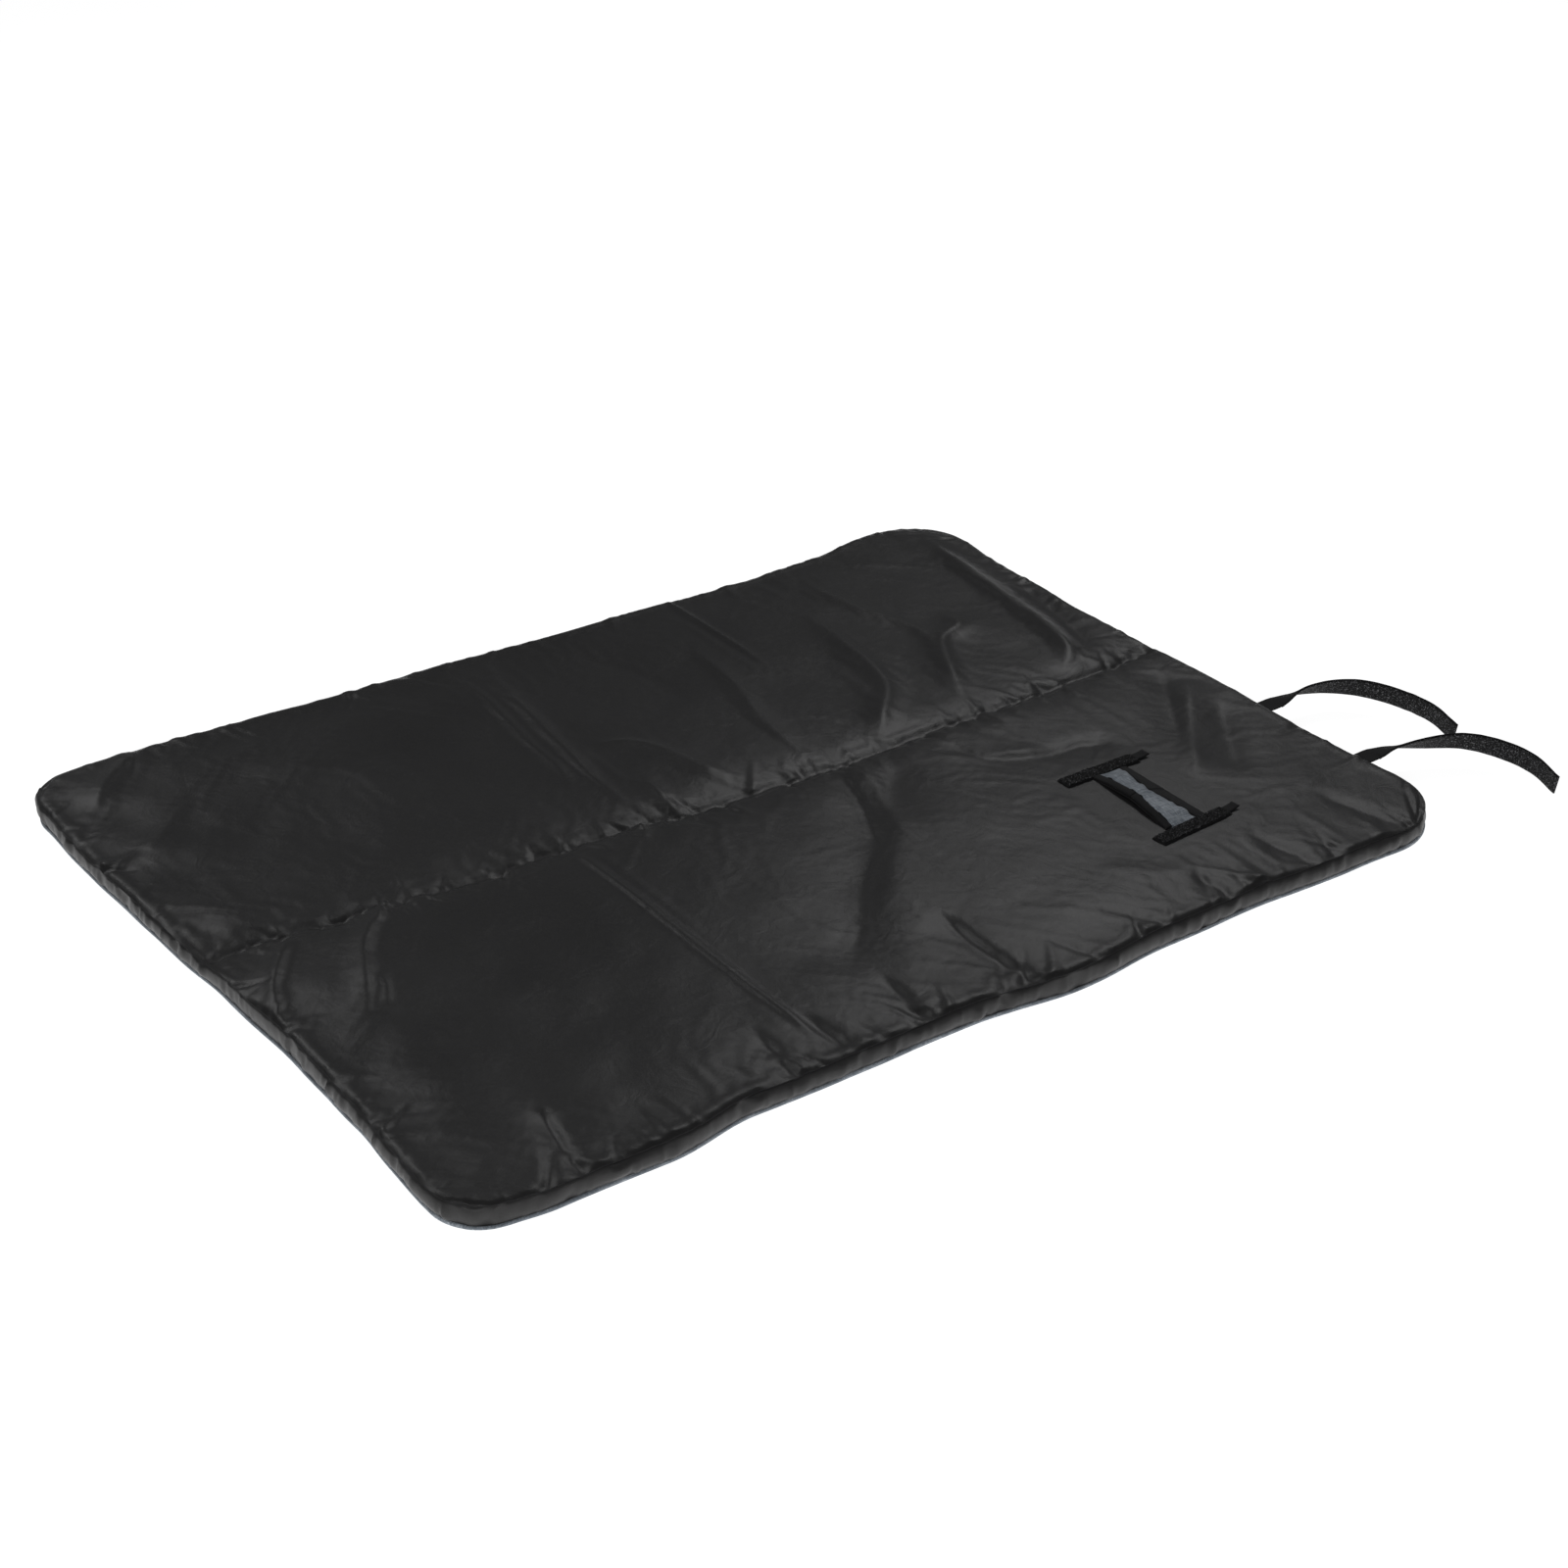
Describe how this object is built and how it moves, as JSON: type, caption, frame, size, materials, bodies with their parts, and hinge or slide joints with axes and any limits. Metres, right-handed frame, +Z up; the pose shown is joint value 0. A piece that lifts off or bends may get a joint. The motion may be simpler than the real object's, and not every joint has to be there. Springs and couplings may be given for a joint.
{
  "type": "folding gym mat",
  "caption": "Padded folding mat with a waterproof top, soft underside, boxed edge, sewn centre fold, carry handle, hook-and-loop patches and closing straps.",
  "frame": {"origin": "centre of the mat on the floor, under the centre fold", "axes": "+X along the fold towards the strap end, +Y across the fold away from the handle, +Z up"},
  "size_m": [1.1223, 0.7621, 0.033],
  "materials": {
    "cover_fabric": "satin coated black woven nylon",
    "heather_fabric": "brushed blue-grey heather fabric",
    "edge_fabric": "black woven polyester, light sheen",
    "wadding": "loose white polyester wadding",
    "webbing": "black ribbed polyester tape",
    "hook_and_loop": "matt black hook-and-loop pile",
    "thread": "black polyester sewing thread"
  },
  "bodies": {
    "near_half": {"near_underside": "heather_fabric", "near_edge_strip": "edge_fabric", "near_top_piping": "edge_fabric", "near_wadding": "wadding", "near_top_batting": "wadding", "near_top_cover": "cover_fabric", "edge_join_tape_1": "edge_fabric", "edge_join_tape_2": "edge_fabric", "fold_web": "cover_fabric", "fold_stitching_near": "thread", "fold_stitching_far": "thread", "far_patch_backing": "webbing", "far_patch_pile": "hook_and_loop", "far_patch_tab": "webbing", "near_patch_backing": "webbing", "near_patch_pile": "hook_and_loop", "near_patch_tab": "webbing", "far_strap_root": "webbing", "near_strap_root": "webbing"},
    "far_half": {"far_underside": "heather_fabric", "far_edge_strip": "edge_fabric", "far_top_piping": "edge_fabric", "far_wadding": "wadding", "far_top_batting": "wadding", "far_top_cover": "cover_fabric"},
    "handle": {"handle_webbing": "webbing", "handle_face": "heather_fabric", "handle_left_binding": "webbing", "handle_right_binding": "webbing"},
    "far_strap": {"far_strap_webbing": "webbing", "far_strap_hook_tape": "hook_and_loop"},
    "near_strap": {"near_strap_webbing": "webbing", "near_strap_hook_tape": "hook_and_loop"}
  },
  "joints": [
    {"name": "centre_fold", "type": "hinge", "parent": "near_half", "child": "far_half", "pos_m": [0, 0, 0.0315], "axis": [1, 0, 0], "range_deg": [0, 180]},
    {"name": "handle_lift", "type": "slide", "parent": "near_half", "child": "handle", "axis": [0, 0, 1], "range_m": [0, 0.008]},
    {"name": "far_strap_bend", "type": "hinge", "parent": "near_half", "child": "far_strap", "pos_m": [0.5128, -0.1335, 0.0204], "axis": [0, -1, 0], "range_deg": [0, 90]},
    {"name": "near_strap_bend", "type": "hinge", "parent": "near_half", "child": "near_strap", "pos_m": [0.5128, -0.259, 0.0204], "axis": [0, -1, 0], "range_deg": [0, 90]}
  ]
}
